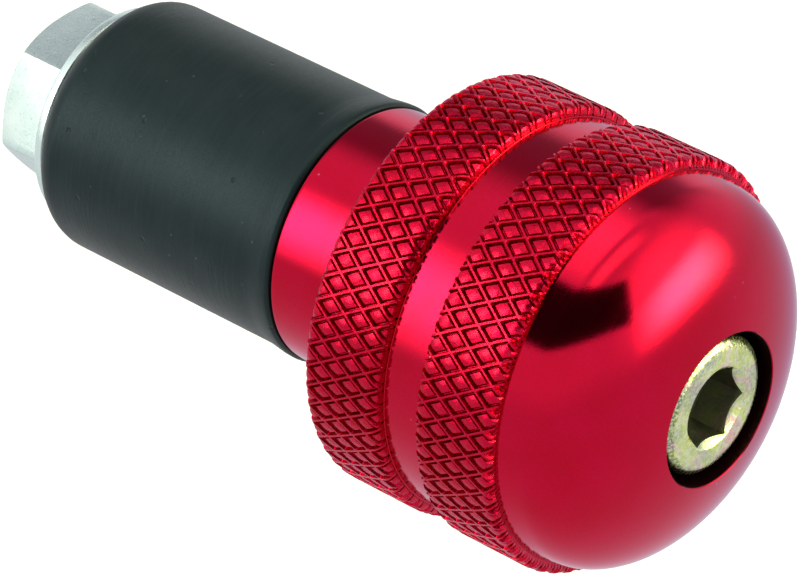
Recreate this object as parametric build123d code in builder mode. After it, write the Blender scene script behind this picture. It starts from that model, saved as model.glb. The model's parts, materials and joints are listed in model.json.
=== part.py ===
"""Bar end for a handlebar: a knurled end weight, a rubber expander sleeve, a cap screw and a flanged nut.

The axis of the part is X. The shoulder that meets the cut end of the handlebar tube lies in the plane X = 0.
The nose points to +X, and everything that goes into the tube lies at X < 0. Sizes are in millimetres.
"""
from build123d import *

import math
import os

# --- End weight ------------------------------------------------------------------------------------------------
BAND_RADIUS = 15.0               # over the crests of the knurl
BAND_WIDTH = 6.45
REAR_BAND_EDGE = 0.5             # 45 degree chamfers of the knurled bands
FRONT_BAND_REAR_EDGE = 0.35
FRONT_BAND_FRONT_EDGE = 0.45
GROOVE_RADIUS = 14.2             # smooth floor between the two bands
GROOVE_WIDTH = 3.2
PILOT_RADIUS = 9.4               # enters the tube and centres the weight
PILOT_LENGTH = 8.15
PILOT_CHAMFER = 0.3
SKIRT_LENGTH = 1.5               # short cone that joins the front band to the dome
DOME_OFFSET = 0.7                # from the front band to the centre of the dome's ellipse
DOME_RADIUS = 13.9               # radial half-axis of that ellipse
DOME_DEPTH = 7.2                 # its half-axis along X
COUNTERBORE_RADIUS = 5.55
WEIGHT_BORE_RADIUS = 3.3         # clearance for the screw

# --- Cap screw, M6 ---------------------------------------------------------------------------------------------
HEAD_RADIUS = 5.0
HEAD_HEIGHT = 6.0
HEAD_RECESS = 0.38               # below the mouth of the counterbore
HEAD_CHAMFER = 0.5
SCREW_LENGTH = 55.0              # under the head
THREAD_RADIUS = 2.97             # the thread is drawn as its outer cylinder
TIP_CHAMFER = 0.8
KEY_FLATS = 5.1                  # across the flats of the hexagon socket
KEY_DEPTH = 3.0
KEY_MOUTH_RADIUS = 3.0           # the mouth of the socket is countersunk to this radius
KEY_DRILL_RADIUS = 2.45          # the pilot drilling, whose cone shows at the bottom of the socket
KEY_CONE_DEPTH = 0.9
KEY_TURN = 52.7                  # degrees about X

# --- Expander sleeve -------------------------------------------------------------------------------------------
SLEEVE_RADIUS = 9.4
SLEEVE_LENGTH = 22.55
SLEEVE_BORE_RADIUS = 3.3
LIP_RADIUS = 9.62                # the front end is flared where it is pressed against the pilot
LIP_LENGTH = 2.2
LIP_CHAMFER = 0.28               # along the axis; radially it comes down to the sleeve's own radius
SLEEVE_REAR_FILLET = 1.9

# --- Expander nut ----------------------------------------------------------------------------------------------
NUT_FLATS = 12.0                 # across the flats
NUT_HEIGHT = 6.0
NUT_CORNER_CUT = 0.7             # depth along X of the cone that cuts the corners
NUT_CORNER_FACE_RADIUS = 5.9     # where that cone meets the end face
FLANGE_RADIUS = 8.2
FLANGE_RIM = 0.8                 # thickness of the flange at its edge
FLANGE_HEIGHT = 1.6              # where the flange's cone reaches the hexagon's flats
NUT_BORE_RADIUS = 3.0
NUT_BORE_CHAMFER = 0.4
NUT_TURN = 8.5                   # degrees about X

# --- Stations along the axis -----------------------------------------------------------------------------------
GROOVE_START = BAND_WIDTH
GROOVE_END = GROOVE_START + GROOVE_WIDTH
FRONT_BAND_END = GROOVE_END + BAND_WIDTH
DOME_CENTRE = FRONT_BAND_END + DOME_OFFSET
SKIRT_END = FRONT_BAND_END + SKIRT_LENGTH
MOUTH_ANGLE = math.degrees(math.asin(COUNTERBORE_RADIUS / DOME_RADIUS))
NOSE = DOME_CENTRE + DOME_DEPTH * math.cos(math.radians(MOUTH_ANGLE))
HEAD_TOP = NOSE - HEAD_RECESS
HEAD_SEAT = HEAD_TOP - HEAD_HEIGHT
KEY_FLOOR = HEAD_TOP - KEY_DEPTH
SCREW_TIP = HEAD_SEAT - SCREW_LENGTH
SLEEVE_FRONT = -PILOT_LENGTH
SLEEVE_REAR = SLEEVE_FRONT - SLEEVE_LENGTH
NUT_REAR = SLEEVE_REAR - NUT_HEIGHT

# The skirt is the tangent to the ellipse at SKIRT_END. Angles on the ellipse are measured from the axis.
SKIRT_ANGLE = math.degrees(math.acos((SKIRT_END - DOME_CENTRE) / DOME_DEPTH))
SKIRT_END_RADIUS = DOME_RADIUS * math.sin(math.radians(SKIRT_ANGLE))
SKIRT_SLOPE = DOME_RADIUS / DOME_DEPTH / math.tan(math.radians(SKIRT_ANGLE))
SKIRT_BASE_RADIUS = SKIRT_END_RADIUS + SKIRT_SLOPE * SKIRT_LENGTH


def square_to_axis(station):
    """Plane square to the part's axis at X = station, with its normal towards the nose."""
    return Plane(origin=(station, 0, 0), x_dir=(0, 1, 0), z_dir=(1, 0, 0))


def finish(part, name):
    """Labels a piece and writes it to its own file."""
    part.label = name
    export_step(part, f"parts/{name}.step")


os.makedirs("parts", exist_ok=True)

# The end weight is one turning. Its half section lies in the XY plane and is revolved about the axis.
with BuildPart() as end_weight:
    with BuildSketch(Plane.XY):
        with BuildLine():
            Polyline(
                (SLEEVE_FRONT, WEIGHT_BORE_RADIUS),
                (SLEEVE_FRONT, PILOT_RADIUS - PILOT_CHAMFER),
                (SLEEVE_FRONT + PILOT_CHAMFER, PILOT_RADIUS),
                (0, PILOT_RADIUS),
                (0, BAND_RADIUS - REAR_BAND_EDGE),
                (REAR_BAND_EDGE, BAND_RADIUS),
                (GROOVE_START - REAR_BAND_EDGE, BAND_RADIUS),
                (GROOVE_START, BAND_RADIUS - REAR_BAND_EDGE),
                (GROOVE_START, GROOVE_RADIUS),
                (GROOVE_END, GROOVE_RADIUS),
                (GROOVE_END, BAND_RADIUS - FRONT_BAND_REAR_EDGE),
                (GROOVE_END + FRONT_BAND_REAR_EDGE, BAND_RADIUS),
                (FRONT_BAND_END - FRONT_BAND_FRONT_EDGE, BAND_RADIUS),
                (FRONT_BAND_END, BAND_RADIUS - FRONT_BAND_FRONT_EDGE),
                (FRONT_BAND_END, SKIRT_BASE_RADIUS),
                (SKIRT_END, SKIRT_END_RADIUS),
            )
            EllipticalCenterArc(
                (DOME_CENTRE, 0),
                DOME_DEPTH,
                DOME_RADIUS,
                start_angle=MOUTH_ANGLE,
                arc_size=SKIRT_ANGLE - MOUTH_ANGLE,
            )
            Polyline(
                (NOSE, COUNTERBORE_RADIUS),
                (HEAD_SEAT, COUNTERBORE_RADIUS),
                (HEAD_SEAT, WEIGHT_BORE_RADIUS),
                (SLEEVE_FRONT, WEIGHT_BORE_RADIUS),
            )
        make_face()
    revolve(axis=Axis.X)
finish(end_weight.part, "end_weight")

# The cap screw: head and shank are one turning, and the hexagon socket is cut into the head.
with BuildPart() as cap_screw:
    with BuildSketch(Plane.XY):
        with BuildLine():
            Polyline(
                (SCREW_TIP, 0),
                (SCREW_TIP, THREAD_RADIUS - TIP_CHAMFER),
                (SCREW_TIP + TIP_CHAMFER, THREAD_RADIUS),
                (HEAD_SEAT, THREAD_RADIUS),
                (HEAD_SEAT, HEAD_RADIUS),
                (HEAD_TOP - HEAD_CHAMFER, HEAD_RADIUS),
                (HEAD_TOP, HEAD_RADIUS - HEAD_CHAMFER),
                (HEAD_TOP, 0),
                close=True,
            )
        make_face()
    revolve(axis=Axis.X)
    with BuildSketch(square_to_axis(KEY_FLOOR)):
        RegularPolygon(radius=KEY_FLATS / 2, side_count=6, major_radius=False, rotation=KEY_TURN)
    extrude(amount=KEY_DEPTH, mode=Mode.SUBTRACT)
    with BuildSketch(Plane.XY):
        with BuildLine():
            mouth_depth = KEY_MOUTH_RADIUS - KEY_FLATS / 2
            Polyline(
                (KEY_FLOOR - KEY_CONE_DEPTH, 0),
                (KEY_FLOOR, KEY_DRILL_RADIUS),
                (HEAD_TOP - mouth_depth, KEY_DRILL_RADIUS),
                (HEAD_TOP, KEY_MOUTH_RADIUS),
                (HEAD_TOP, 0),
                close=True,
            )
        make_face()
    revolve(axis=Axis.X, mode=Mode.SUBTRACT)
finish(cap_screw.part, "cap_screw")

# The rubber sleeve: a thick tube with a slightly flared front lip and a rounded rear end.
with BuildPart() as expander_sleeve:
    with BuildSketch(Plane.XY):
        with BuildLine():
            Polyline(
                (SLEEVE_REAR, SLEEVE_BORE_RADIUS),
                (SLEEVE_REAR, SLEEVE_RADIUS),
                (SLEEVE_FRONT - LIP_LENGTH, SLEEVE_RADIUS),
                (SLEEVE_FRONT - LIP_CHAMFER, LIP_RADIUS),
                (SLEEVE_FRONT, SLEEVE_RADIUS),
                (SLEEVE_FRONT, SLEEVE_BORE_RADIUS),
                close=True,
            )
        make_face()
    revolve(axis=Axis.X)
    rear_face = expander_sleeve.faces().sort_by(Axis.X).first
    fillet(rear_face.outer_wire().edges(), radius=SLEEVE_REAR_FILLET)
finish(expander_sleeve.part, "expander_sleeve")

# The nut: a hexagon whose rear corners are cut by a cone, standing on a round flange that presses on the sleeve.
with BuildPart() as expander_nut:
    with BuildSketch(square_to_axis(NUT_REAR)):
        RegularPolygon(radius=NUT_FLATS / 2, side_count=6, major_radius=False, rotation=NUT_TURN)
    extrude(amount=NUT_HEIGHT)
    with BuildSketch(Plane.XY):
        with BuildLine():
            corner_radius = NUT_FLATS / math.sqrt(3)
            Polyline(
                (NUT_REAR, 0),
                (NUT_REAR, NUT_CORNER_FACE_RADIUS),
                (NUT_REAR + NUT_CORNER_CUT, corner_radius),
                (SLEEVE_REAR, corner_radius),
                (SLEEVE_REAR, 0),
                close=True,
            )
        make_face()
    revolve(axis=Axis.X, mode=Mode.INTERSECT)
    with BuildSketch(Plane.XY):
        with BuildLine():
            Polyline(
                (SLEEVE_REAR - FLANGE_HEIGHT, 0),
                (SLEEVE_REAR - FLANGE_HEIGHT, NUT_FLATS / 2),
                (SLEEVE_REAR - FLANGE_RIM, FLANGE_RADIUS),
                (SLEEVE_REAR, FLANGE_RADIUS),
                (SLEEVE_REAR, 0),
                close=True,
            )
        make_face()
    revolve(axis=Axis.X)
    with BuildSketch(Plane.XY):
        with BuildLine():
            Polyline(
                (NUT_REAR, 0),
                (NUT_REAR, NUT_BORE_RADIUS + NUT_BORE_CHAMFER),
                (NUT_REAR + NUT_BORE_CHAMFER, NUT_BORE_RADIUS),
                (SLEEVE_REAR - NUT_BORE_CHAMFER, NUT_BORE_RADIUS),
                (SLEEVE_REAR, NUT_BORE_RADIUS + NUT_BORE_CHAMFER),
                (SLEEVE_REAR, 0),
                close=True,
            )
        make_face()
    revolve(axis=Axis.X, mode=Mode.SUBTRACT)
finish(expander_nut.part, "expander_nut")
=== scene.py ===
"""Looks of the bar end: a knurled, red anodised end weight, a rubber sleeve, a socket screw and a flanged nut.

The axis of the part is X, with the nose at +X. Everything is in metres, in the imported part's own frame.
"""
import json
import math

import bmesh
import bpy
import numpy as np
from mathutils import Matrix, Vector


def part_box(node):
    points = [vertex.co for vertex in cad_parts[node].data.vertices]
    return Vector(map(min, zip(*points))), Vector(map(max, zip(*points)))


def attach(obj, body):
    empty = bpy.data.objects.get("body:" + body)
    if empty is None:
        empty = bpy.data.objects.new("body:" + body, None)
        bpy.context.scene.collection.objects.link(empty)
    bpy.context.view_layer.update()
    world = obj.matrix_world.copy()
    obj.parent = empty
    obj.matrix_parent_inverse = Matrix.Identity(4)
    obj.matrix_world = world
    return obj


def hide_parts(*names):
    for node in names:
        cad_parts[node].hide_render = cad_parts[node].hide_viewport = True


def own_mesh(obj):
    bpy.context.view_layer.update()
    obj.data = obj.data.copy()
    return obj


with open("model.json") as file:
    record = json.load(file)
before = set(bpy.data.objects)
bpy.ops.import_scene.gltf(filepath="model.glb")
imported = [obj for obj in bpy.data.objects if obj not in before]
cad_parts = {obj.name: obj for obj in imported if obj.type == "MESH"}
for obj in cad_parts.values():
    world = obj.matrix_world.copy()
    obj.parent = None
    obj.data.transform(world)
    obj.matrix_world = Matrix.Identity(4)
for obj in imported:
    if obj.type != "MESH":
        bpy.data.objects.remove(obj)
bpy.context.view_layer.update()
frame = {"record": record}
MM = 0.001
TAU = 2 * math.pi

# --- Sizes read from the frame -----------------------------------------------------------------------------------
weight_low, weight_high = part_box("end_weight")
sleeve_low, sleeve_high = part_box("expander_sleeve")
screw_low, screw_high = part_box("cap_screw")
nut_low, nut_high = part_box("expander_nut")
MOUNTS = {m["name"]: m for m in frame["record"]["mounts"]}

BAND_RADIUS = weight_high.z
PILOT_RADIUS = MOUNTS["bar_pilot"]["dims"]["r_mm"] * MM
PILOT_END = weight_low.x
NOSE = weight_high.x
HEAD_TOP = screw_high.x
SCREW_TIP = screw_low.x
SLEEVE_FRONT = sleeve_high.x
SLEEVE_REAR = sleeve_low.x
SLEEVE_RADIUS = PILOT_RADIUS
LIP_RADIUS = sleeve_high.z
NUT_REAR = nut_low.x
FLANGE_RADIUS = nut_high.z

# --- Sizes repeated from the design ------------------------------------------------------------------------------
BAND_WIDTH = 6.45 * MM
GROOVE_WIDTH = 3.2 * MM
GROOVE_RADIUS = 14.2 * MM
REAR_BAND_EDGE = 0.5 * MM
FRONT_BAND_REAR_EDGE = 0.35 * MM
FRONT_BAND_FRONT_EDGE = 0.45 * MM
SKIRT_LENGTH = 1.5 * MM           # the cone between the front band and the dome's ellipse
DOME_OFFSET = 0.7 * MM            # from the front band to the ellipse's centre
DOME_RADIUS = 13.9 * MM
DOME_DEPTH = 7.2 * MM
COUNTERBORE_RADIUS = 5.55 * MM
BORE_RADIUS = 3.3 * MM
HEAD_RADIUS = 5.0 * MM
HEAD_HEIGHT = 6.0 * MM
KEY_FLATS = 5.1 * MM
KEY_DEPTH = 3.0 * MM
KEY_MOUTH_RADIUS = 3.0 * MM
KEY_CONE_DEPTH = 0.9 * MM
KEY_TURN = math.radians(52.7)
THREAD_RADIUS = 2.97 * MM
THREAD_PITCH = 1.0 * MM
THREAD_LENGTH = 24.0 * MM
SLEEVE_REAR_FILLET = 1.9 * MM
LIP_LENGTH = 2.2 * MM
NUT_FLATS = 12.0 * MM
NUT_TURN = math.radians(8.5)
NUT_BORE_RADIUS = 3.0 * MM
NUT_CORNER_CUT = 0.7 * MM
NUT_FACE_RADIUS = 5.9 * MM
FLANGE_RIM = 0.8 * MM
FLANGE_HEIGHT = 1.6 * MM

# --- Details that only the looks have ----------------------------------------------------------------------------
LATHE_STEPS = 240                 # segments round a turned piece
DOME_STEPS = 48                   # and along the dome
FINE_STEP = 0.15 * MM             # a short step beside an edge, which keeps its shading narrow
SHOULDER_REACH = 4.4 * MM         # how far the shoulder's plain face goes out from the pilot
GROOVE_LIP = 0.12 * MM            # how high the groove's walls are below the knurl
GROOVE_FILLET = 0.06 * MM
SKIRT_POINTS = (0.0, 0.12, 0.7, 1.1)   # where the skirt's rings lie along it, in millimetres
MOUTH_BREAK = 0.08 * MM           # the broken edge of the counterbore
HEAD_RIDGES = 48                  # the fine ridges on the side of the screw's head
HEAD_RIDGE_DEPTH = 0.06 * MM
THREAD_DEPTH = 0.58 * THREAD_PITCH
THREAD_FADE = 1.2 * MM            # the stretch in which the thread runs out into the shank
THREAD_PROFILE = ((0.0, 0.0), (0.08, 0.0), (0.44, 1.0), (0.56, 1.0), (0.92, 0.0))   # along the pitch, depth
TIP_CHAMFER = 0.75 * MM
TIP_CHAMFER_LIMIT = 0.9 * MM
SLEEVE_END = 6 * MM               # the stretch at the sleeve's rear that holds its rounded edge
SLEEVE_STEPS = 40

# The knurl: two families of ridges, 58 in each, at about 32 degrees to the axis. Places inside a cell are shares
# of the ridges' pitch, and heights are shares of the knurl's depth.
RIDGES = 58
RIDGES_PER_METRE = 393.6          # ridges met along the axis, which sets their slope
KNURL_DEPTH = 0.42 * MM
REAR_PHASES = (0.582, 0.402)      # where each family's ridges start round the rear band
FRONT_PHASES = (0.528, 0.358)     # and round the front band
CELL_STEPS = (0.05, 0.12, 0.14, 0.21, 0.42, 0.58, 0.79, 0.86, 0.88, 0.95)   # the mesh's lines across a cell
RIDGE_FLANK = (0.05, 0.125)       # from the edge of a ridge's top to its foot
PAD_FLANK = (0.135, 0.215)        # from the foot of a pad to the edge of its top
PAD_HEIGHT = 0.60                 # the pads inside the cells, where the ridges are 1
PAD_CROWN = 0.30
PAD_UNEVEN = 0.04                 # how much the pads differ in height
PAD_TILT = (0.10, 0.16)           # how much they lean, at random along one family and evenly along the other
TRENCH_RUN_OUT = 0.3 * MM         # how much deeper the trenches are at a band's ends
EDGE_WIDTH = 0.5 * MM             # the band's rounded edges
BAND_MARGIN = 0.2 * MM            # how far the knurl's sheet goes past a band before it is cut

GROOVE_START = BAND_WIDTH
GROOVE_END = GROOVE_START + GROOVE_WIDTH
FRONT_BAND_END = GROOVE_END + BAND_WIDTH
DOME_CENTRE = FRONT_BAND_END + DOME_OFFSET
SKIRT_END = FRONT_BAND_END + SKIRT_LENGTH
SKIRT_ANGLE = math.acos((SKIRT_END - DOME_CENTRE) / DOME_DEPTH)
SKIRT_SLOPE = DOME_RADIUS / DOME_DEPTH / math.tan(SKIRT_ANGLE)
SKIRT_BASE_RADIUS = DOME_RADIUS * math.sin(SKIRT_ANGLE) + SKIRT_SLOPE * SKIRT_LENGTH
HEAD_SEAT = HEAD_TOP - HEAD_HEIGHT


# --- Mesh building -----------------------------------------------------------------------------------------------
class Skin:
    """Rings of points round the X axis, joined into one closed mesh."""

    def __init__(self):
        self.points = []
        self.faces = []

    def ring(self, x, radius, angles):
        """Adds a ring. x and radius are numbers, or one value for each angle."""
        start = len(self.points)
        xs = np.broadcast_to(np.asarray(x, float), angles.shape)
        radii = np.broadcast_to(np.asarray(radius, float), angles.shape)
        for px, r, a in zip(xs, radii, angles):
            self.points.append((px, r * math.cos(a), r * math.sin(a)))
        return np.arange(start, len(self.points))

    def join(self, first, second):
        """Quads between two rings with the same number of points."""
        n = len(first)
        for i in range(n):
            j = (i + 1) % n
            self.faces.append((int(first[i]), int(second[i]), int(second[j]), int(first[j])))

    def zip(self, first, second):
        """Triangles between two rings whose points differ in number, matched by their angles."""
        a, b = self._by_angle(first), self._by_angle(second)
        i = j = 0
        while i < len(a) or j < len(b):
            next_a = a[i + 1][0] if i + 1 < len(a) else a[0][0] + TAU
            next_b = b[j + 1][0] if j + 1 < len(b) else b[0][0] + TAU
            here_a, here_b = a[i % len(a)][1], b[j % len(b)][1]
            if j >= len(b) or (i < len(a) and next_a <= next_b):
                self.faces.append((here_a, here_b, a[(i + 1) % len(a)][1]))
                i += 1
            else:
                self.faces.append((here_a, here_b, b[(j + 1) % len(b)][1]))
                j += 1

    def _by_angle(self, ring):
        return sorted((math.atan2(self.points[k][2], self.points[k][1]) % TAU, int(k)) for k in ring)

    def cap(self, ring, x):
        """Closes a ring with a fan to a point on the axis."""
        centre = len(self.points)
        self.points.append((x, 0.0, 0.0))
        n = len(ring)
        for i in range(n):
            self.faces.append((int(ring[i]), int(ring[(i + 1) % n]), centre))

    def add(self, points, faces):
        """Adds a finished patch and returns where its points start."""
        start = len(self.points)
        self.points.extend(map(tuple, points))
        self.faces.extend(tuple(int(k) + start for k in f) for f in faces)
        return start

    def wrap(self, bm, start, end, surface, tolerance):
        """Adds a sheet that lies round the axis, with its points moved to the radius that surface(x, angle) gives.

        Frees the sheet, and returns its rings at start and at end.
        """
        points = np.array([v.co for v in bm.verts], float)
        x = points[:, 0]
        angle = np.arctan2(points[:, 2], points[:, 1])
        radius = surface(x, angle)
        points[:, 1] = radius * np.cos(angle)
        points[:, 2] = radius * np.sin(angle)
        bm.verts.index_update()
        faces = [[v.index for v in f.verts] for f in bm.faces]
        bm.free()
        first = self.add(points, faces)
        return [first + np.where(np.abs(x - station) < tolerance)[0] for station in (start, end)]

    def lathe(self, outline, angles):
        """Revolves (x, radius) points, as in ring(). Returns the first and last rings."""
        rings = [self.ring(x, r, angles) for x, r in outline]
        for low, high in zip(rings, rings[1:]):
            self.join(low, high)
        return rings[0], rings[-1]

    def build(self, name, sharp=32.0):
        """Makes the object, with outward normals and crisp edges where faces meet by more than `sharp` degrees."""
        mesh = bpy.data.meshes.new(name)
        mesh.from_pydata(self.points, [], self.faces)
        bm = bmesh.new()
        bm.from_mesh(mesh)
        bmesh.ops.remove_doubles(bm, verts=bm.verts, dist=1e-8)
        bmesh.ops.dissolve_degenerate(bm, edges=bm.edges, dist=1e-9)
        bmesh.ops.recalc_face_normals(bm, faces=bm.faces)
        bm.to_mesh(mesh)
        bm.free()
        mesh.shade_smooth()
        mesh.set_sharp_from_angle(angle=math.radians(sharp))
        piece = bpy.data.objects.new(name, mesh)
        bpy.context.scene.collection.objects.link(piece)
        return piece


def cut_across(bm, x, tolerance, drop_below=False, drop_above=False):
    """Cuts a sheet with a plane across the axis, and drops what lies on one side of it if asked."""
    bmesh.ops.bisect_plane(
        bm,
        geom=bm.verts[:] + bm.edges[:] + bm.faces[:],
        dist=tolerance,
        plane_co=(x, 0, 0),
        plane_no=(1, 0, 0),
        clear_inner=drop_below,
        clear_outer=drop_above,
    )


def even_angles(count, turn=0.0):
    return turn + np.arange(count) * TAU / count


def soften(outline, radii, steps=4, support=0.12 * MM):
    """Rounds the corners of an outline of (x, radius) points with arcs. radii holds one value for each point.

    A further point, `support` along each long straight, keeps the shading of the arc off it.
    """
    result = []
    for i, point in enumerate(outline):
        p = np.array(point, float)
        r = radii[i]
        if r <= 0 or i in (0, len(outline) - 1):
            result.append(tuple(p))
            continue
        before = np.array(outline[i - 1], float) - p
        after = np.array(outline[i + 1], float) - p
        u, v = before / np.linalg.norm(before), after / np.linalg.norm(after)
        half = math.acos(max(-1.0, min(1.0, float(u @ v)))) / 2
        cut = r / math.tan(half)
        start, end = p + u * cut, p + v * cut
        centre = p + (u + v) / np.linalg.norm(u + v) * r / math.sin(half)
        a0, a1 = math.atan2(*(start - centre)[::-1]), math.atan2(*(end - centre)[::-1])
        sweep = (a1 - a0 + math.pi) % TAU - math.pi
        if np.linalg.norm(before) > 2 * (cut + support):
            result.append(tuple(start + u * support))
        for k in range(steps + 1):
            a = a0 + sweep * k / steps
            result.append((centre[0] + r * math.cos(a), centre[1] + r * math.sin(a)))
        if np.linalg.norm(after) > 2 * (cut + support):
            result.append(tuple(end + v * support))
    return result


def smooth_step(low, high, value):
    t = np.clip((value - low) / (high - low), 0, 1)
    return t * t * (3 - 2 * t)


# --- The knurl ---------------------------------------------------------------------------------------------------
def knurl_height(angle, x, phase_a, phase_b):
    """Height of the knurl from 0, in the trenches, to 1, on the ridges. Each cell holds a lower, crowned pad."""
    a = (RIDGES * angle + TAU * RIDGES_PER_METRE * x) / TAU - phase_a
    b = (RIDGES * angle - TAU * RIDGES_PER_METRE * x) / TAU - phase_b
    from_a, from_b = np.abs(a - np.round(a)), np.abs(b - np.round(b))
    nearest = np.minimum(from_a, from_b)
    ridge = 1 - smooth_step(*RIDGE_FLANK, nearest)
    crown = np.sin(math.pi * from_a) * np.sin(math.pi * from_b)
    uneven = np.sin(12.9898 * np.floor(a) + 78.233 * np.floor(b))   # a fixed value for each cell, -1 to 1
    tilt = PAD_TILT[0] * uneven * (a - np.floor(a) - 0.5) + PAD_TILT[1] * (np.floor(b) + 0.5 - b)
    pad = PAD_HEIGHT + PAD_CROWN * crown + PAD_UNEVEN * uneven + tilt
    return np.maximum(ridge, smooth_step(*PAD_FLANK, nearest) * pad)


def edge_drop(distance, drop):
    """How far a band's rounded edge lies below the crests, at a distance from the band's end."""
    t = np.clip(1 - distance / EDGE_WIDTH, 0, 1)
    return drop * (1 - np.sqrt(1 - t * t))


def knurled_band(skin, start, end, rear_edge, front_edge, phase_a, phase_b):
    """Adds a band of knurled surface between two stations and returns its rings at start and at end."""
    steps = len(CELL_STEPS)
    full_turn = RIDGES * steps
    bm = bmesh.new()
    verts = {}

    def corner(i, j):
        lap = i // full_turn
        key = (i - lap * full_turn, j - lap * full_turn)
        if key not in verts:
            a = key[0] // steps + CELL_STEPS[key[0] % steps] + phase_a
            b = key[1] // steps + CELL_STEPS[key[1] % steps] + phase_b
            angle = math.pi * (a + b) / RIDGES
            x = (a - b) / (2 * RIDGES_PER_METRE)
            verts[key] = bm.verts.new((x, BAND_RADIUS * math.cos(angle), BAND_RADIUS * math.sin(angle)))
        return verts[key]

    shift = phase_a - phase_b
    lowest = math.floor(2 * RIDGES_PER_METRE * (start - BAND_MARGIN) - shift) - 1
    highest = math.ceil(2 * RIDGES_PER_METRE * (end + BAND_MARGIN) - shift) + 1
    for i in range(full_turn):
        for j in range(i - highest * steps, i - lowest * steps):
            bm.faces.new((corner(i, j), corner(i + 1, j), corner(i + 1, j + 1), corner(i, j + 1)))
    tolerance = 1e-7
    cut_across(bm, start, tolerance, drop_below=True)
    cut_across(bm, end, tolerance, drop_above=True)
    cut_across(bm, start + EDGE_WIDTH / 3, tolerance)
    cut_across(bm, end - EDGE_WIDTH / 3, tolerance)

    def surface(x, angle):
        height = knurl_height(angle, x, phase_a, phase_b)
        crest = BAND_RADIUS - np.maximum(edge_drop(x - start, rear_edge), edge_drop(end - x, front_edge))
        end_distance = np.minimum(x - start, end - x)
        trench = BAND_RADIUS - KNURL_DEPTH - edge_drop(end_distance, TRENCH_RUN_OUT)
        return np.minimum(trench + (crest - trench) * height, crest)

    return skin.wrap(bm, start, end, surface, 10 * tolerance)


def end_weight():
    """The one-piece turned weight: pilot, two knurled bands, groove, domed nose and counterbore."""
    skin = Skin()
    angles = even_angles(LATHE_STEPS)
    rear_start, rear_end = knurled_band(
        skin, 0.0, GROOVE_START, REAR_BAND_EDGE, REAR_BAND_EDGE, *REAR_PHASES
    )
    front_start, front_end = knurled_band(
        skin, GROOVE_END, FRONT_BAND_END, FRONT_BAND_REAR_EDGE, FRONT_BAND_FRONT_EDGE, *FRONT_PHASES
    )
    pilot = soften(
        [
            (HEAD_SEAT, BORE_RADIUS),
            (PILOT_END, BORE_RADIUS),
            (PILOT_END, PILOT_RADIUS),
            (0, PILOT_RADIUS),
            (0, PILOT_RADIUS + SHOULDER_REACH),
        ],
        [0, 0.3 * MM, 0.3 * MM, 0.15 * MM, 0],
    )
    bore_ring, shoulder_ring = skin.lathe(pilot, angles)
    skin.zip(shoulder_ring, rear_start)
    groove = soften(
        [
            (GROOVE_START, GROOVE_RADIUS + GROOVE_LIP),
            (GROOVE_START, GROOVE_RADIUS),
            (GROOVE_END, GROOVE_RADIUS),
            (GROOVE_END, GROOVE_RADIUS + GROOVE_LIP),
        ],
        [0, GROOVE_FILLET, GROOVE_FILLET, 0],
        steps=3,
    )
    groove_first, groove_last = skin.lathe(groove, angles)
    skin.zip(rear_end, groove_first)
    skin.zip(groove_last, front_start)
    mouth = math.asin((COUNTERBORE_RADIUS + MOUTH_BREAK) / DOME_RADIUS)
    base = np.array((FRONT_BAND_END, SKIRT_BASE_RADIUS))
    along_skirt = np.array((1.0, -SKIRT_SLOPE))
    dome = [tuple(base + along_skirt * reach * MM) for reach in SKIRT_POINTS]
    for k in range(DOME_STEPS + 1):
        t = SKIRT_ANGLE + (mouth - SKIRT_ANGLE) * k / DOME_STEPS
        dome.append((DOME_CENTRE + DOME_DEPTH * math.cos(t), DOME_RADIUS * math.sin(t)))
    mouth_x = dome[-1][0]
    dome += [
        (mouth_x - MOUTH_BREAK, COUNTERBORE_RADIUS),
        (mouth_x - MOUTH_BREAK - FINE_STEP, COUNTERBORE_RADIUS),
        (HEAD_SEAT, COUNTERBORE_RADIUS),
    ]
    dome_first, dome_last = skin.lathe(dome, angles)
    skin.zip(front_end, dome_first)
    skin.join(dome_last, bore_ring)
    return skin.build("weight_body")


def hexagon_radius(angles, flats, turn, rounding=None):
    """Distance from the axis to a hexagon's side at each angle.

    `rounding` is a power, and the lower it is, the rounder the corners. Without it they are sharp.
    """
    if rounding is None:
        sector = (angles - turn) % (math.pi / 3) - math.pi / 6
        return flats / 2 / np.cos(sector)
    sides = [turn + math.pi / 6 + k * math.pi / 3 for k in range(6)]
    total = sum(np.maximum(np.cos(angles - s), 0) ** rounding for s in sides)
    return flats / 2 / total ** (1 / rounding)


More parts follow.
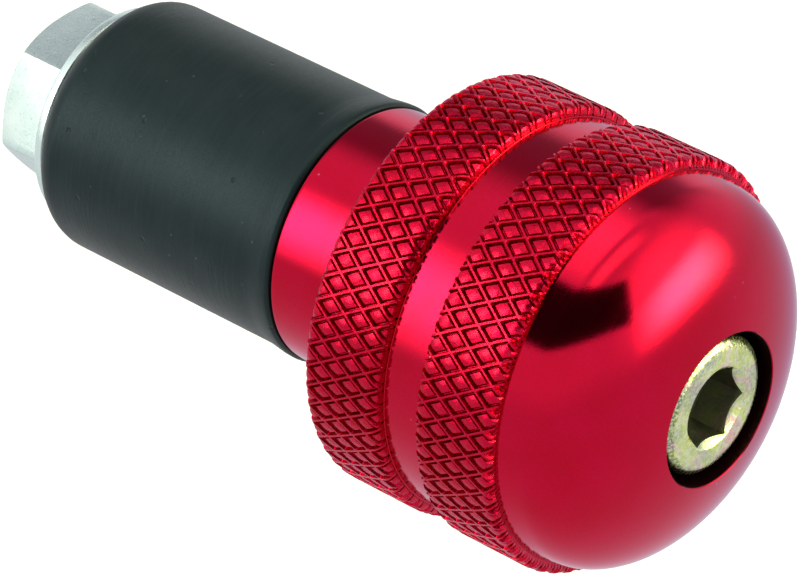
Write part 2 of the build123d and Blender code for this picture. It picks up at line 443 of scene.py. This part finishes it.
def threaded_rod(skin, tip, run_out, radius, angles):
    """Adds a screw thread from tip to run_out with a chamfered, closed tip. Returns the ring at run_out."""
    bm = bmesh.new()
    n, m = len(angles), len(THREAD_PROFILE)
    turns = math.ceil((run_out - tip) / THREAD_PITCH) + 3
    grid = {}
    for k in range(turns * m):
        for i in range(n):
            along = THREAD_PROFILE[k % m][0] + k // m + i / n - 2
            grid[k, i] = bm.verts.new(
                (tip + along * THREAD_PITCH, math.cos(angles[i]), math.sin(angles[i]))
            )
    for k in range(turns * m - 1):
        for i in range(n):
            if i + 1 < n:
                right, upper = (k, i + 1), (k + 1, i + 1)
            else:
                right, upper = (k + m, 0), (k + 1 + m, 0)
            if right in grid and upper in grid:
                bm.faces.new((grid[k, i], grid[right], grid[upper], grid[k + 1, i]))
    tolerance = 1e-8
    cut_across(bm, tip, tolerance, drop_below=True)
    cut_across(bm, run_out, tolerance, drop_above=True)
    turn_shares = [place for place, _ in THREAD_PROFILE] + [1.0]
    depth_shares = [share for _, share in THREAD_PROFILE] + [0.0]

    def surface(x, angle):
        phase = ((x - tip) / THREAD_PITCH - (angle - angles[0]) / TAU) % 1.0
        sunk = THREAD_DEPTH * np.interp(phase, turn_shares, depth_shares)
        chamfer = radius - TIP_CHAMFER + (x - tip)
        r = np.minimum(radius - sunk, np.maximum(chamfer, radius - TIP_CHAMFER_LIMIT))
        fade = smooth_step(run_out - THREAD_FADE, run_out - 0.05 * MM, x)
        return r + (radius - r) * fade

    return skin.wrap(bm, tip, run_out, surface, 10 * tolerance)


def cap_screw():
    """The socket cap screw: knurled head with a hexagon socket, plain shank and M6 thread."""
    skin = Skin()
    angles = even_angles(144, KEY_TURN)
    hexagon = hexagon_radius(angles, KEY_FLATS, KEY_TURN)
    side = HEAD_RADIUS - HEAD_RIDGE_DEPTH * (1 - np.abs(np.cos(angles * HEAD_RIDGES / 2)))
    outline = [
        (HEAD_SEAT, THREAD_RADIUS + 0.25 * MM),
        (HEAD_SEAT, HEAD_RADIUS - 0.15 * MM),
        (HEAD_SEAT + 0.15 * MM, HEAD_RADIUS - 0.05 * MM),
        (HEAD_SEAT + 0.5 * MM, side),
        (HEAD_TOP - 0.75 * MM, side),
        (HEAD_TOP - 0.55 * MM, HEAD_RADIUS - 0.04 * MM),
        (HEAD_TOP - 0.42 * MM, HEAD_RADIUS - 0.1 * MM),
        (HEAD_TOP - 0.13 * MM, HEAD_RADIUS - 0.42 * MM),
        (HEAD_TOP - 0.03 * MM, HEAD_RADIUS - 0.62 * MM),
        (HEAD_TOP, HEAD_RADIUS - 0.85 * MM),
        (HEAD_TOP, KEY_MOUTH_RADIUS + 0.2 * MM),
        (HEAD_TOP, KEY_MOUTH_RADIUS + 0.05 * MM),
        (HEAD_TOP - 0.02 * MM, KEY_MOUTH_RADIUS),
        (HEAD_TOP - 0.02 * MM - (KEY_MOUTH_RADIUS - hexagon), hexagon),
        (HEAD_TOP - KEY_DEPTH, hexagon),
        (HEAD_TOP - KEY_DEPTH, KEY_FLATS / 2 - 0.05 * MM),
    ]
    under_head, socket_floor = skin.lathe(outline, angles)
    skin.cap(socket_floor, HEAD_TOP - KEY_DEPTH - KEY_CONE_DEPTH)
    rod = even_angles(48, KEY_TURN)
    run_out = SCREW_TIP + THREAD_LENGTH
    tip_ring, thread_end = threaded_rod(skin, SCREW_TIP, run_out, THREAD_RADIUS, rod)
    shank_start = skin.ring(run_out, THREAD_RADIUS - 0.01 * MM, rod)
    shank_end = skin.ring(HEAD_SEAT - 0.25 * MM, THREAD_RADIUS, rod)
    skin.zip(thread_end, shank_start)
    skin.join(shank_start, shank_end)
    skin.zip(shank_end, under_head)
    inner = skin.ring(SCREW_TIP, 1.2 * MM, rod)
    skin.zip(tip_ring, inner)
    skin.cap(inner, SCREW_TIP)
    return skin.build("screw_socket_cap", sharp=28)


def expander_sleeve():
    """The rubber sleeve, with a flared front lip and a rounded rear end."""
    skin = Skin()
    angles = even_angles(LATHE_STEPS)
    straight = SLEEVE_REAR + SLEEVE_END
    front = SLEEVE_FRONT - 0.28 * MM
    rear = soften(
        [
            (SLEEVE_FRONT, BORE_RADIUS),
            (SLEEVE_REAR, BORE_RADIUS),
            (SLEEVE_REAR, SLEEVE_RADIUS),
            (straight, SLEEVE_RADIUS),
        ],
        [0, 0.3 * MM, SLEEVE_REAR_FILLET, 0],
        steps=10,
    )
    body = []
    for k in range(1, SLEEVE_STEPS + 1):
        x = straight + (front - straight) * k / SLEEVE_STEPS
        flare = smooth_step(front - LIP_LENGTH, front, x) * (LIP_RADIUS - SLEEVE_RADIUS)
        body.append((x, SLEEVE_RADIUS + float(flare)))
    lip = [
        (SLEEVE_FRONT - 0.2 * MM, LIP_RADIUS - 0.02 * MM),
        (SLEEVE_FRONT - 0.06 * MM, SLEEVE_RADIUS + 0.1 * MM),
        (SLEEVE_FRONT, SLEEVE_RADIUS + 0.02 * MM),
    ]
    first, last = skin.lathe(rear + body + lip, angles)
    skin.join(last, first)
    return skin.build("sleeve_rubber")


def expander_nut():
    """The hexagon flange nut with chamfered corners, rounded edges and a countersunk bore."""
    skin = Skin()
    angles = even_angles(180, NUT_TURN)
    side = hexagon_radius(angles, NUT_FLATS, NUT_TURN, rounding=90)
    corner = NUT_FLATS / math.sqrt(3)
    past_face = np.maximum(side - NUT_FACE_RADIUS, 0) / (corner - NUT_FACE_RADIUS)
    cone_x = NUT_REAR + past_face * NUT_CORNER_CUT
    flange_slope = (FLANGE_HEIGHT - FLANGE_RIM) / (FLANGE_RADIUS - NUT_FLATS / 2)
    root_x = SLEEVE_REAR - FLANGE_HEIGHT + (side - NUT_FLATS / 2) * flange_slope
    outline = [
        (SLEEVE_REAR, NUT_BORE_RADIUS + 0.4 * MM),
        (SLEEVE_REAR - 0.4 * MM, NUT_BORE_RADIUS),
        (NUT_REAR + 0.4 * MM, NUT_BORE_RADIUS),
        (NUT_REAR, NUT_BORE_RADIUS + 0.4 * MM),
        (NUT_REAR, NUT_FACE_RADIUS - 0.3 * MM),
        (NUT_REAR, NUT_FACE_RADIUS - 0.08 * MM),
        (NUT_REAR + 0.02 * MM, NUT_FACE_RADIUS + 0.02 * MM),
        (cone_x, side - 0.03 * MM),
        (cone_x + 0.08 * MM, side),
        (root_x - 0.2 * MM, side),
        (root_x - 0.05 * MM, side + 0.04 * MM),
        (root_x + 0.05 * MM, side + 0.2 * MM),
        (SLEEVE_REAR - FLANGE_RIM - 0.05 * MM, FLANGE_RADIUS - 0.22 * MM),
        (SLEEVE_REAR - FLANGE_RIM + 0.05 * MM, FLANGE_RADIUS - 0.06 * MM),
        (SLEEVE_REAR - FLANGE_RIM + 0.2 * MM, FLANGE_RADIUS),
        (SLEEVE_REAR - 0.15 * MM, FLANGE_RADIUS),
        (SLEEVE_REAR, FLANGE_RADIUS - 0.15 * MM),
    ]
    first, last = skin.lathe(outline, angles)
    skin.join(last, first)
    return skin.build("nut_flanged", sharp=26)


# --- Materials ---------------------------------------------------------------------------------------------------
class Nodes:
    """Small helpers that add and link the nodes of one material or world."""

    def __init__(self, tree):
        self.nodes = tree.nodes
        self.links = tree.links

    def put(self, socket, value):
        if isinstance(value, (int, float, tuple, list)):
            socket.default_value = value
        else:
            self.links.new(value, socket)

    def vector(self, operation, first, second):
        node = self.nodes.new("ShaderNodeVectorMath")
        node.operation = operation
        self.put(node.inputs[0], first)
        self.put(node.inputs[1], second)
        return node.outputs["Value"] if operation in ("LENGTH", "DOT_PRODUCT") else node.outputs["Vector"]

    def math(self, operation, *values):
        node = self.nodes.new("ShaderNodeMath")
        node.operation = operation
        for socket, value in zip(node.inputs, values):
            self.put(socket, value)
        return node.outputs["Value"]

    def noise(self, place, scale, detail=2.0, roughness=0.5, distortion=0.0):
        node = self.nodes.new("ShaderNodeTexNoise")
        self.put(node.inputs["Vector"], place)
        node.inputs["Scale"].default_value = scale
        node.inputs["Detail"].default_value = detail
        node.inputs["Roughness"].default_value = roughness
        node.inputs["Distortion"].default_value = distortion
        return node.outputs["Fac"]

    def cells(self, place, scale):
        """Distance from the nearest of a scatter of points."""
        node = self.nodes.new("ShaderNodeTexVoronoi")
        self.put(node.inputs["Vector"], place)
        node.inputs["Scale"].default_value = scale
        return node.outputs["Distance"]

    def spread(self, value, low, high, to_low=0.0, to_high=1.0, smooth=False):
        """Maps low to high onto to_low to to_high, and holds at both ends. low may be above high."""
        node = self.nodes.new("ShaderNodeMapRange")
        node.interpolation_type = "SMOOTHSTEP" if smooth else "LINEAR"
        for socket, number in zip(node.inputs, (value, low, high, to_low, to_high)):
            self.put(socket, number)
        return node.outputs["Result"]

    def mix(self, factor, first, second):
        node = self.nodes.new("ShaderNodeMix")
        node.data_type = "RGBA"
        self.put(node.inputs["Factor"], factor)
        self.put(node.inputs["A"], first)
        self.put(node.inputs["B"], second)
        return node.outputs["Result"]

    def ramp(self, factor, stops):
        node = self.nodes.new("ShaderNodeValToRGB")
        self.put(node.inputs[0], factor)
        elements = node.color_ramp.elements
        while len(elements) < len(stops):
            elements.new(1.0)
        for element, (position, colour) in zip(elements, stops):
            element.position = position
            element.color = colour
        return node.outputs["Color"]

    def bump(self, height, distance, normal=None):
        """Bump of a height between 0 and 1, where `distance` is its real depth in metres."""
        node = self.nodes.new("ShaderNodeBump")
        node.inputs["Strength"].default_value = 1.0
        node.inputs["Distance"].default_value = distance
        self.put(node.inputs["Height"], height)
        if normal is not None:
            self.put(node.inputs["Normal"], normal)
        return node.outputs["Normal"]


class Shader(Nodes):
    """A Principled material. Coordinates are the object's own, in millimetres."""

    def __init__(self, name, **settings):
        self.material = bpy.data.materials.new(name)
        self.material.use_nodes = True
        super().__init__(self.material.node_tree)
        self.surface = self.nodes["Principled BSDF"]
        for socket, value in settings.items():
            self.surface.inputs[socket.replace("_", " ")].default_value = value
        place = self.nodes.new("ShaderNodeTexCoord").outputs["Object"]
        self.place = self.vector("MULTIPLY", place, (1000, 1000, 1000))

    def along_and_round(self):
        """The station along the axis, the distance from it and the angle round it."""
        node = self.nodes.new("ShaderNodeSeparateXYZ")
        self.put(node.inputs[0], self.place)
        x, y, z = node.outputs
        squares = self.math("ADD", self.math("MULTIPLY", y, y), self.math("MULTIPLY", z, z))
        return x, self.math("SQRT", squares), self.math("ARCTAN2", z, y)

    def turned(self, round_scale, along_scale):
        """Coordinates for marks left by turning: squeezed along the axis, stretched round it."""
        x, radius, angle = self.along_and_round()
        joined = self.nodes.new("ShaderNodeCombineXYZ")
        self.put(joined.inputs[0], self.math("MULTIPLY", x, along_scale))
        self.put(joined.inputs[1], self.math("MULTIPLY", radius, along_scale))
        self.put(joined.inputs[2], self.math("MULTIPLY", angle, round_scale))
        return joined.outputs[0]

    def set(self, **sockets):
        for socket, value in sockets.items():
            self.put(self.surface.inputs[socket.replace("_", " ")], value)
        return self.material


def red_anodised():
    """Dyed aluminium: deep red and glossy, with fine turning lines, a slight grain and a few bright nicks.

    The knurl is rougher, and the wall of the counterbore is painted nearly black, as the photo shows it: a painted
    shade for the recess.
    """
    s = Shader("anodised_red", Metallic=1.0, Coat_Weight=0.12, Coat_Roughness=0.12)
    s.surface.inputs["Specular Tint"].default_value = (1.0, 0.85, 1.0, 1.0)
    patches = s.noise(s.place, 0.22, 3.0)
    grain = s.noise(s.place, 9.0, 3.0, 0.6)
    lines = s.noise(s.turned(0.6, 6.0), 1.0, 3.0, 0.6)
    nicks = s.spread(s.cells(s.place, 0.33), 0.035, 0.02, 0.0, 0.6)
    colour = s.mix(s.spread(patches, 0.3, 0.7), (0.52, 0.001, 0.018, 1), (0.57, 0.001, 0.030, 1))
    colour = s.mix(s.spread(grain, 0.35, 0.75, 0.0, 0.4), colour, (0.36, 0.001, 0.045, 1))
    colour = s.mix(nicks, colour, (0.75, 0.20, 0.24, 1))
    station, radius, _ = s.along_and_round()
    # Painted shade: the counterbore's wall behind the mouth is coloured nearly black, and made rougher.
    wall = COUNTERBORE_RADIUS / MM
    nose = NOSE / MM
    behind_mouth = s.spread(station, nose - 0.03, nose - 0.09)
    bore_painted_shade = s.math("MULTIPLY", s.spread(radius, wall + 0.07, wall + 0.03), behind_mouth)
    colour = s.mix(bore_painted_shade, colour, (0.012, 0.001, 0.002, 1))
    band_end = FRONT_BAND_END / MM
    groove = GROOVE_RADIUS / MM
    on_dome = s.spread(station, band_end - 0.02, band_end + 0.05)
    above_groove = s.spread(radius, groove + 0.02, groove + 0.14)
    knurled = s.math("MULTIPLY", above_groove, s.math("SUBTRACT", 1.0, on_dome))
    polished = s.math("ADD", s.spread(grain, 0.3, 0.7, 0.08, 0.13), s.spread(lines, 0.3, 0.7, -0.015, 0.015))
    rolled_rough = s.math("MULTIPLY", knurled, s.spread(grain, 0.3, 0.7, 0.10, 0.22))
    roughness = s.math("ADD", s.math("ADD", polished, rolled_rough), s.math("MULTIPLY", bore_painted_shade, 0.5))
    height = s.math("ADD", s.math("MULTIPLY", lines, 0.5), s.math("MULTIPLY", grain, 0.5))
    turned = s.bump(height, 0.005 * MM)
    rolled = s.math("MULTIPLY", s.noise(s.place, 3.2, 3.0, 0.6), knurled)
    return s.set(Base_Color=colour, Roughness=roughness, Normal=s.bump(rolled, 0.05 * MM, normal=turned))


def black_rubber():
    """Moulded and ground rubber: charcoal, matt, with grinding marks round it, a little dust and small pits."""
    s = Shader("rubber_black", Coat_Weight=0.0)
    s.surface.inputs["Specular IOR Level"].default_value = 0.24
    s.surface.inputs["Specular Tint"].default_value = (0.60, 0.88, 1.0, 1.0)
    clouds = s.noise(s.place, 0.35, 3.0)
    grain = s.noise(s.place, 7.0, 4.0, 0.65)
    ground = s.noise(s.turned(1.6, 3.2), 1.0, 4.0, 0.7)
    where = s.spread(s.noise(s.place, 0.18, 1.0), 0.42, 0.62)
    marks = s.math("MULTIPLY", ground, where)
    dust = s.spread(s.cells(s.place, 0.62), 0.07, 0.04, 0.0, 0.35)
    pits = s.spread(s.cells(s.place, 0.42), 0.09, 0.04, 0.0, 1.0)
    darker, paler = (0.0040, 0.0090, 0.0096, 1), (0.0070, 0.0135, 0.0142, 1)
    colour = s.mix(s.spread(clouds, 0.3, 0.7), darker, paler)
    colour = s.mix(s.spread(ground, 0.45, 0.8, 0.0, 0.55), colour, (0.013, 0.022, 0.023, 1))
    colour = s.mix(dust, colour, (0.09, 0.12, 0.12, 1))
    roughness = s.spread(grain, 0.3, 0.7, 0.34, 0.46)
    height = s.math("ADD", s.math("MULTIPLY", grain, 0.35), s.math("MULTIPLY", marks, 1.3))
    height = s.math("SUBTRACT", height, s.math("MULTIPLY", pits, 1.2))
    return s.set(Base_Color=colour, Roughness=roughness, Normal=s.bump(height, 0.03 * MM))


def yellow_zinc():
    """Steel with yellow chromate on zinc: pale olive gold with green, pink and blue-grey clouds, dulled by dents.

    The socket is painted much darker than the head's face, a painted shade for the recess, and the head's rim and
    side are darkened in speckles, a painted shade.
    """
    s = Shader("zinc_yellow", Metallic=1.0)
    clouds = s.noise(s.place, 0.48, 3.0, 0.6, 0.9)
    shade = s.noise(s.place, 0.42, 2.0, 0.5)
    grain = s.noise(s.place, 4.5, 4.0, 0.65)
    dents = s.cells(s.place, 1.9)
    colour = s.ramp(
        clouds,
        [
            (0.26, (0.26, 0.36, 0.34, 1)),
            (0.38, (0.62, 0.66, 0.42, 1)),
            (0.47, (0.56, 0.66, 0.12, 1)),
            (0.54, (0.70, 0.66, 0.50, 1)),
            (0.62, (0.76, 0.44, 0.42, 1)),
            (0.74, (0.40, 0.52, 0.24, 1)),
        ],
    )
    colour = s.mix(s.spread(shade, 0.42, 0.64, 0.0, 0.65), colour, (0.26, 0.31, 0.26, 1))
    colour = s.mix(s.spread(grain, 0.42, 0.7, 0.0, 0.5), colour, (0.82, 0.86, 0.74, 1))
    station, radius, _ = s.along_and_round()
    # Painted shade: the head's rim and side, which sit down in the counterbore's gap, are darkened in speckles set
    # by the grain.
    rim_start = HEAD_RADIUS / MM - 0.75
    rim = s.spread(radius, rim_start, rim_start + 0.25)
    rim_speckled_shade = s.math("MULTIPLY", rim, s.spread(grain, 0.44, 0.56, 1.0, 0.0))
    colour = s.mix(s.math("MULTIPLY", rim_speckled_shade, 0.7), colour, (0.10, 0.11, 0.09, 1))
    # Painted shade: the socket below the face is coloured much darker, and made a little rougher.
    face, seat, mouth = HEAD_TOP / MM, HEAD_SEAT / MM, KEY_MOUTH_RADIUS / MM
    below_face = s.spread(station, face - 0.25, face - 0.6)
    in_head = s.spread(station, seat + 0.3, seat + 0.6)
    within = s.spread(radius, mouth + 0.05, mouth - 0.02)
    socket = s.math("MULTIPLY", s.math("MULTIPLY", below_face, in_head), within)
    colour = s.mix(s.math("MULTIPLY", socket, 0.72), colour, (0.085, 0.085, 0.075, 1))
    roughness = s.math("ADD", s.spread(grain, 0.3, 0.7, 0.20, 0.40), s.math("MULTIPLY", socket, 0.12))
    height = s.math("ADD", s.math("MULTIPLY", grain, 0.4), s.spread(dents, 0.0, 0.35, 0.0, 0.8))
    return s.set(Base_Color=colour, Roughness=roughness, Normal=s.bump(height, 0.028 * MM))


def bright_zinc():
    """Steel with clear chromate on zinc: pale bluish grey, satin, with drawn marks and dull spots."""
    s = Shader("zinc_bright", Metallic=1.0)
    clouds = s.noise(s.place, 0.5, 3.0)
    grain = s.noise(s.place, 6.0, 4.0, 0.65)
    spots = s.spread(s.cells(s.place, 0.6), 0.14, 0.08, 0.0, 0.5)
    colour = s.mix(s.spread(clouds, 0.3, 0.7), (0.60, 0.74, 0.72, 1), (0.72, 0.84, 0.82, 1))
    colour = s.mix(spots, colour, (0.38, 0.48, 0.50, 1))
    roughness = s.spread(grain, 0.3, 0.7, 0.24, 0.38)
    return s.set(Base_Color=colour, Roughness=roughness, Normal=s.bump(grain, 0.014 * MM))


# --- The object --------------------------------------------------------------------------------------------------
def dress(piece, material, body, node):
    piece.data.materials.append(material)
    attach(piece, body)
    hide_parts(node)


weight = end_weight()
screw = cap_screw()
sleeve = expander_sleeve()
nut = expander_nut()
dress(weight, red_anodised(), "weight", "end_weight")
dress(screw, yellow_zinc(), "screw", "cap_screw")
dress(sleeve, black_rubber(), "weight", "expander_sleeve")
dress(nut, bright_zinc(), "nut", "expander_nut")
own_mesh(sleeve)


# --- Studio ------------------------------------------------------------------------------------------------------
def direction(azimuth, elevation):
    """Unit vector. Azimuth 0 is towards -Y and 90 towards +X. Degrees."""
    a, e = math.radians(azimuth), math.radians(elevation)
    return Vector((math.sin(a) * math.cos(e), -math.cos(a) * math.cos(e), math.sin(e)))


def patch(sky, way, azimuth, elevation, half_width, half_height, inner):
    """1 inside a soft-edged rectangle of directions, 0 outside it. `inner` is the share of it without a fade."""
    middle = direction(azimuth, elevation)
    inside = sky.math("GREATER_THAN", sky.vector("DOT_PRODUCT", way, middle[:]), 0.0)
    sides = (
        (direction(azimuth + 90, 0), half_width),
        (direction(azimuth, elevation + 90), half_height),
    )
    for axis, half in sides:
        reach = math.sin(math.radians(half))
        offset = sky.math("ABSOLUTE", sky.vector("DOT_PRODUCT", way, axis[:]))
        inside = sky.math("MULTIPLY", inside, sky.spread(offset, reach, inner * reach, smooth=True))
    return inside


def arch(sky, azimuth, middle, peak, fall):
    """A curved edge: its elevation is `peak` at azimuth `middle` and falls off either side. Degrees."""
    off = sky.math("SUBTRACT", azimuth, middle)
    return sky.math("SUBTRACT", peak, sky.math("MULTIPLY", sky.math("MULTIPLY", off, off), fall))


def dark_card(sky, way):
    """1 where a black card hangs between two arched edges in front of the object, which the nose reflects."""
    parts = sky.nodes.new("ShaderNodeSeparateXYZ")
    sky.put(parts.inputs[0], way)
    x, y, z = parts.outputs
    minus_y = sky.math("MULTIPLY", y, -1.0)
    azimuth = sky.math("DEGREES", sky.math("ARCTAN2", x, minus_y))
    elevation = sky.math("DEGREES", sky.math("ARCSINE", z))
    above = sky.math("SUBTRACT", elevation, arch(sky, azimuth, **CARD_LOWER_EDGE))
    below = sky.math("SUBTRACT", arch(sky, azimuth, **CARD_UPPER_EDGE), elevation)
    card = sky.spread(above, -1.2, 1.2, smooth=True)
    card = sky.math("MULTIPLY", card, sky.spread(below, -2.0, 2.0, smooth=True))
    card = sky.math("MULTIPLY", card, sky.spread(azimuth, CARD_LEFT - 5.0, CARD_LEFT, smooth=True))
    return sky.math("MULTIPLY", card, sky.spread(azimuth, CARD_RIGHT + 4.0, CARD_RIGHT, smooth=True))


# A tent of even light, brighter above the horizon than below, and a nearly black card. Angles are in degrees.
TENT_BELOW, TENT_ABOVE = 0.85, 1.08
CARD_LOWER_EDGE = {"middle": 22.0, "peak": 32.0, "fall": 0.003}
CARD_UPPER_EDGE = {"middle": 15.0, "peak": 67.5, "fall": 0.0033}
CARD_LEFT, CARD_RIGHT = -25.0, 90.0
CARD_SHARE = 0.02                 # how much of the light in front of it the card leaves

# Bright stretches of the tent, whose colour is added to it, and dim ones, whose colour is taken out of it:
# azimuth, elevation, half width, half height, the share without a fade, and the colour.
LIGHTS = (
    (121, 13, 30, 15, 0.15, (17.0, 17.0, 7.2)),
    (117, 30, 40, 38, 0.0, (2.2, 2.2, 1.2)),
    (-39, 22, 13, 30, 0.15, (6.8, 6.6, 5.4)),
    (-95, 77, 30, 13, 0.2, (2.0, 2.0, 1.1)),
    (85, 76, 30, 12, 0.2, (1.9, 1.9, 0.9)),
)
DIM_STRETCHES = (
    (-136, 40, 48, 24, 0.4, (0.72, 0.72, 0.68)),
    (178, 42, 26, 22, 0.0, (0.35, 0.35, 0.30)),
    (-155, -28, 45, 32, 0.3, (0.22, 0.18, 0.08)),
    (175, -10, 30, 50, 0.3, (0.06, 0.06, 0.0)),
)

world = bpy.data.worlds.new("studio")
bpy.context.scene.world = world
world.use_nodes = True
sky = Nodes(world.node_tree)
way = sky.vector("NORMALIZE", sky.nodes.new("ShaderNodeTexCoord").outputs["Generated"], (0, 0, 0))
upward = sky.vector("DOT_PRODUCT", way, (0, 0, 1))
white = (1.0, 1.0, 1.0)
radiance = sky.vector("MULTIPLY", sky.spread(upward, -0.1, 0.15, TENT_BELOW, TENT_ABOVE), white)
for *shape, colour in DIM_STRETCHES:
    dim = sky.vector("MULTIPLY", patch(sky, way, *shape), colour)
    radiance = sky.vector("MULTIPLY", radiance, sky.vector("SUBTRACT", white, dim))
for *shape, colour in LIGHTS:
    radiance = sky.vector("ADD", radiance, sky.vector("MULTIPLY", patch(sky, way, *shape), colour))
uncovered = sky.spread(dark_card(sky, way), 0.0, 1.0, 1.0, CARD_SHARE)
background = sky.nodes["Background"]
background.inputs["Strength"].default_value = 1.0
sky.put(background.inputs["Color"], sky.vector("MULTIPLY", radiance, uncovered))

FLOOR_DROP = 0.05                 # below the part
FLOOR_HALF = 3.0
FLOOR_GLOW = 0.25
floor_level = weight_low.z - FLOOR_DROP
floor_mesh = bpy.data.meshes.new("floor")
floor_mesh.from_pydata(
    [(x * FLOOR_HALF, y * FLOOR_HALF, floor_level) for x, y in ((-1, -1), (1, -1), (1, 1), (-1, 1))],
    [],
    [(0, 1, 2, 3)],
)
floor_white = (0.8, 0.8, 0.8, 1)
floor_shader = Shader(
    "floor_white", Roughness=0.9, Base_Color=floor_white, Emission_Color=floor_white, Emission_Strength=FLOOR_GLOW
)
floor_mesh.materials.append(floor_shader.material)
floor = bpy.data.objects.new("floor", floor_mesh)
bpy.context.scene.collection.objects.link(floor)
floor.visible_glossy = False

# --- Camera, at the photograph's viewing angle -------------------------------------------------------------------
CAMERA_PLACE = (0.20007, -0.23410, 0.20927)
CAMERA_RIGHT = Vector((0.7529, 0.6581, 0.0))
CAMERA_UP = Vector((-0.3708, 0.4243, 0.8261))
CAMERA_LENS = 246.6
camera_data = bpy.data.cameras.new("camera")
camera_data.sensor_width = 36
camera_data.lens = CAMERA_LENS
camera_data.clip_start = 0.01
camera_data.clip_end = 20
camera = bpy.data.objects.new("camera", camera_data)
turn = Matrix((CAMERA_RIGHT, CAMERA_UP, CAMERA_RIGHT.cross(CAMERA_UP))).transposed().to_4x4()
camera.matrix_world = Matrix.Translation(CAMERA_PLACE) @ turn
bpy.context.scene.collection.objects.link(camera)
bpy.context.scene.camera = camera
bpy.context.scene.view_settings.view_transform = "Standard"
